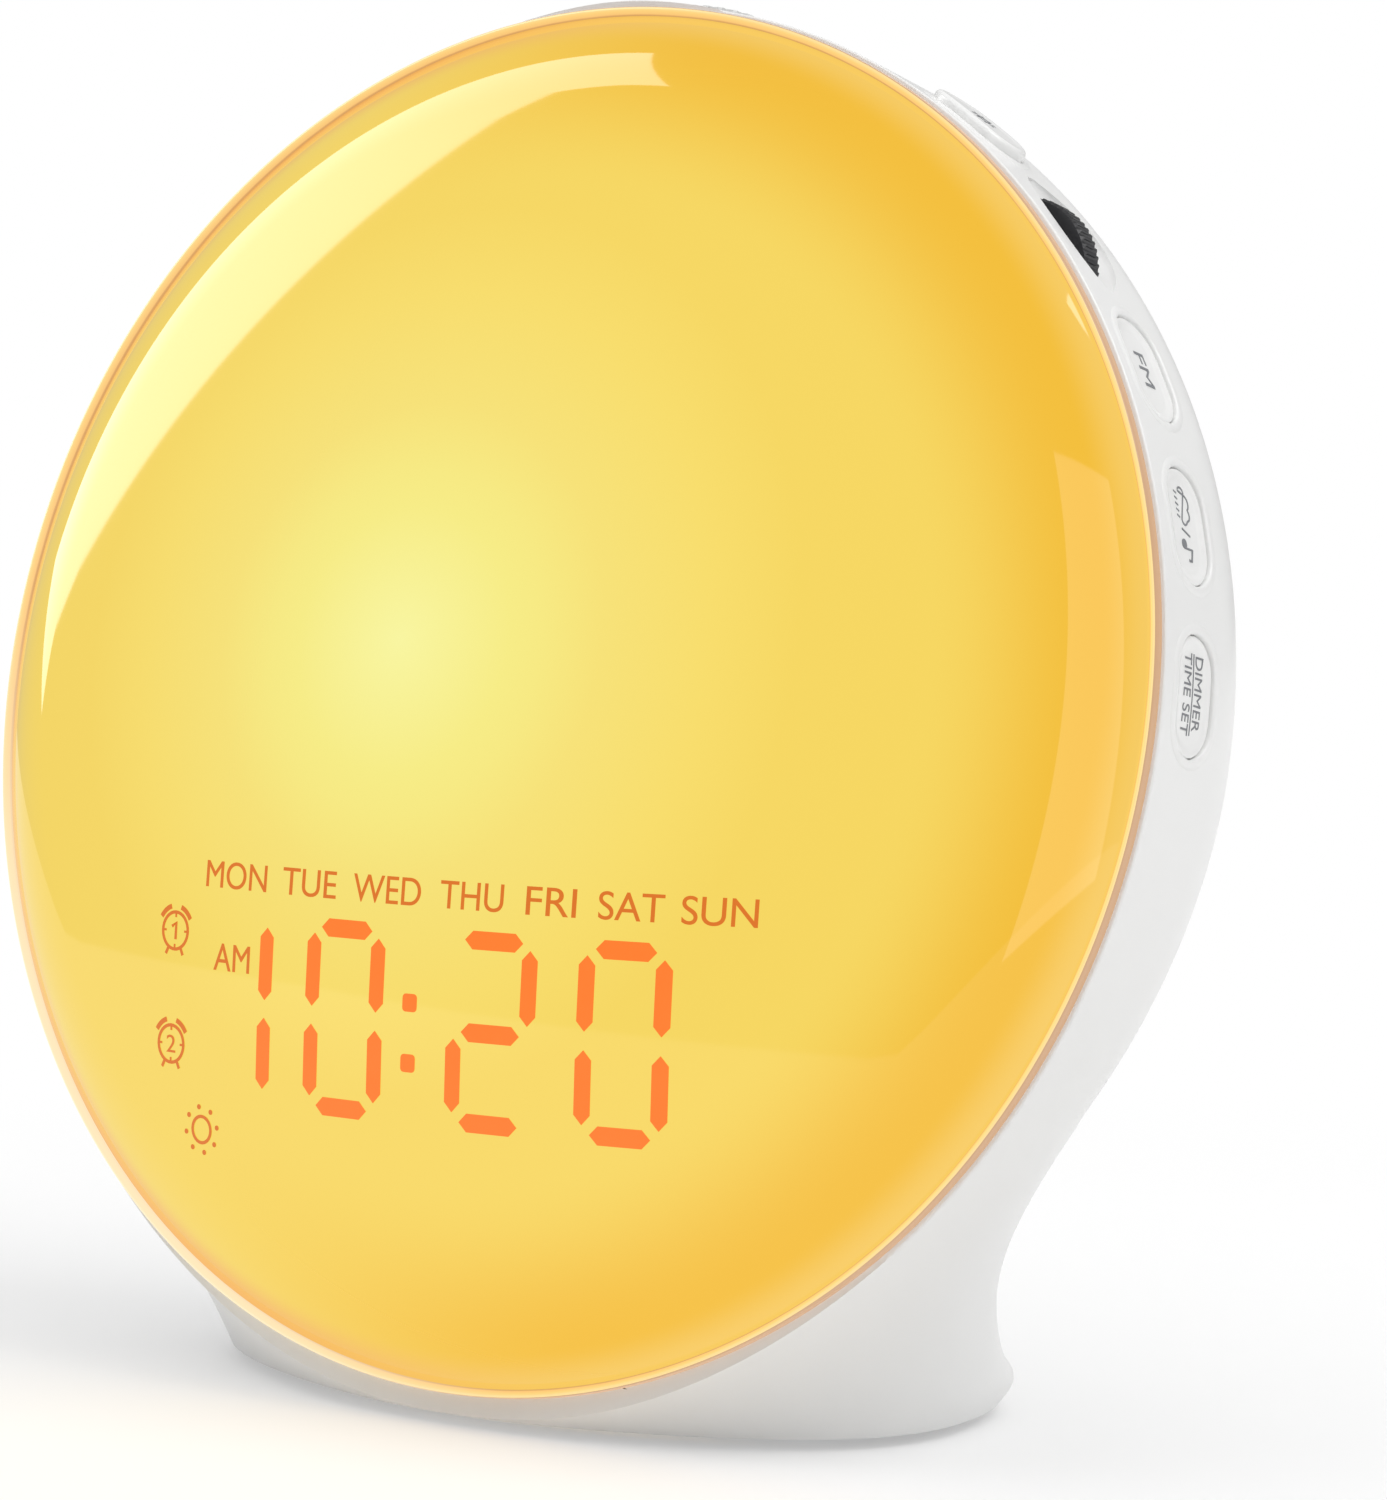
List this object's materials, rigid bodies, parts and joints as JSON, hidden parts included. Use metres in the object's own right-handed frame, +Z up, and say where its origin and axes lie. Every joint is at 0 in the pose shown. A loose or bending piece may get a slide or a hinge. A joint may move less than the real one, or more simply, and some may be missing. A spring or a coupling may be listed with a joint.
{
  "type": "sunrise alarm clock",
  "caption": "Free-standing sunrise alarm clock: domed round light face with time display, side buttons, thumb wheel and top dial on a leaning shell with an oval foot.",
  "frame": {"origin": "centre of the bounding box's bottom face, on the surface the clock stands on", "axes": "+Z up, -Y towards the person reading the face, +X to the face's right"},
  "size_m": [0.1764, 0.0756, 0.1768],
  "materials": {
    "dome_acrylic": "satin moulded acrylic, warm amber when lit",
    "shell_abs": "fine satin moulding",
    "button_abs": "smooth satin moulding",
    "base_abs": "spark-textured moulding",
    "rubber": "matte",
    "pan_white": "matte white reflector",
    "shroud_black": "matte black",
    "mask_film": "translucent film, cream",
    "segment_amber": "clear orange light guides",
    "dial_grey": "fine satin moulding",
    "acetal": "natural acetal",
    "switch_case": "moulded",
    "wheel_black": "fine satin moulding",
    "speaker_steel": "black zinc pressed steel",
    "ferrite": "dark ceramic magnet",
    "paper_cone": "pressed paper",
    "cell_steel": "nickel plated",
    "jack_black": "moulded",
    "led_amber": "clear resin",
    "chip_black": "moulded epoxy",
    "circuit_board": "green solder mask",
    "screw_steel": "zinc plated"
  },
  "bodies": {
    "root": {"base_plate": "base_abs", "base_screws": "screw_steel", "battery_contact": "cell_steel", "board_screws": "screw_steel", "coin_cell": "cell_steel", "dc_jack": "jack_black", "dc_jack_pin": "cell_steel", "dial_board": "circuit_board", "diffuser_dome": "dome_acrylic", "display_board": "circuit_board", "display_leds": "led_amber", "display_mask": "mask_film", "display_segments": "segment_amber", "display_shroud": "shroud_black", "encoder_case": "switch_case", "key_boards_left": "circuit_board", "key_boards_right": "circuit_board", "key_switches_left": "switch_case", "key_switches_right": "switch_case", "led_board": "circuit_board", "light_leds": "led_amber", "main_board": "circuit_board", "main_board_parts": "chip_black", "main_housing": "shell_abs", "pan_screws": "screw_steel", "reflector_pan": "pan_white", "rubber_feet": "rubber", "speaker_basket": "speaker_steel", "speaker_cone": "paper_cone", "speaker_magnet": "ferrite", "speaker_screws": "screw_steel", "volume_board": "circuit_board", "volume_pot": "switch_case"},
    "button_time": {"button_time": "button_abs"},
    "button_sound": {"button_sound": "button_abs"},
    "button_fm": {"button_fm": "button_abs"},
    "button_light": {"button_light": "button_abs"},
    "button_alarm_2": {"button_alarm_2": "button_abs"},
    "button_alarm_1": {"button_alarm_1": "button_abs"},
    "button_minus": {"button_minus": "button_abs"},
    "button_plus": {"button_plus": "button_abs"},
    "button_colour": {"button_colour": "button_abs"},
    "volume_wheel": {"volume_wheel": "wheel_black"},
    "dial_press": {"dial_push_plate": "acetal"},
    "dial": {"top_dial": "dial_grey", "dial_shaft": "acetal"},
    "battery_cover": {"battery_cover": "base_abs"}
  },
  "joints": [
    {"name": "button_time_press", "type": "slide", "parent": "root", "child": "button_time", "axis": [-0.9991, -0.0088, -0.0409], "range_m": [0, 0.0006], "stiffness_N_per_m": 900, "springref_m": -0.0005},
    {"name": "button_sound_press", "type": "slide", "parent": "root", "child": "button_sound", "axis": [-0.963, -0.0565, -0.2634], "range_m": [0, 0.0006], "stiffness_N_per_m": 900, "springref_m": -0.0005},
    {"name": "button_fm_press", "type": "slide", "parent": "root", "child": "button_fm", "axis": [-0.8758, -0.1012, -0.4719], "range_m": [0, 0.0006], "stiffness_N_per_m": 900, "springref_m": -0.0005},
    {"name": "button_light_press", "type": "slide", "parent": "root", "child": "button_light", "axis": [-0.5691, -0.1724, -0.804], "range_m": [0, 0.0006], "stiffness_N_per_m": 900, "springref_m": -0.0005},
    {"name": "button_alarm_2_press", "type": "slide", "parent": "root", "child": "button_alarm_2", "axis": [0.9991, -0.0088, -0.0409], "range_m": [0, 0.0006], "stiffness_N_per_m": 900, "springref_m": -0.0005},
    {"name": "button_alarm_1_press", "type": "slide", "parent": "root", "child": "button_alarm_1", "axis": [0.963, -0.0565, -0.2634], "range_m": [0, 0.0006], "stiffness_N_per_m": 900, "springref_m": -0.0005},
    {"name": "button_minus_press", "type": "slide", "parent": "root", "child": "button_minus", "axis": [0.8758, -0.1012, -0.4719], "range_m": [0, 0.0006], "stiffness_N_per_m": 900, "springref_m": -0.0005},
    {"name": "button_plus_press", "type": "slide", "parent": "root", "child": "button_plus", "axis": [0.7422, -0.1405, -0.6553], "range_m": [0, 0.0006], "stiffness_N_per_m": 900, "springref_m": -0.0005},
    {"name": "button_colour_press", "type": "slide", "parent": "root", "child": "button_colour", "axis": [0.5691, -0.1724, -0.804], "range_m": [0, 0.0006], "stiffness_N_per_m": 900, "springref_m": -0.0005},
    {"name": "volume_turn", "type": "hinge", "parent": "root", "child": "volume_wheel", "pos_m": [0.0593, 0.00325, 0.14036], "axis": [0, 0.9778, -0.2096], "range_deg": [-150, 150]},
    {"name": "dial_push", "type": "slide", "parent": "root", "child": "dial_press", "axis": [0, -0.3437, -0.9391], "range_m": [0, 0.0005], "stiffness_N_per_m": 1500, "springref_m": -0.0005},
    {"name": "dial_turn", "type": "hinge", "parent": "dial_press", "child": "dial", "pos_m": [0, 0.02585, 0.16993], "axis": [0, 0.3437, 0.9391], "continuous": true},
    {"name": "battery_cover_turn", "type": "hinge", "parent": "root", "child": "battery_cover", "pos_m": [0, -0.00838, 0.0023], "axis": [0, 0, 1], "range_deg": [0, 60]}
  ]
}
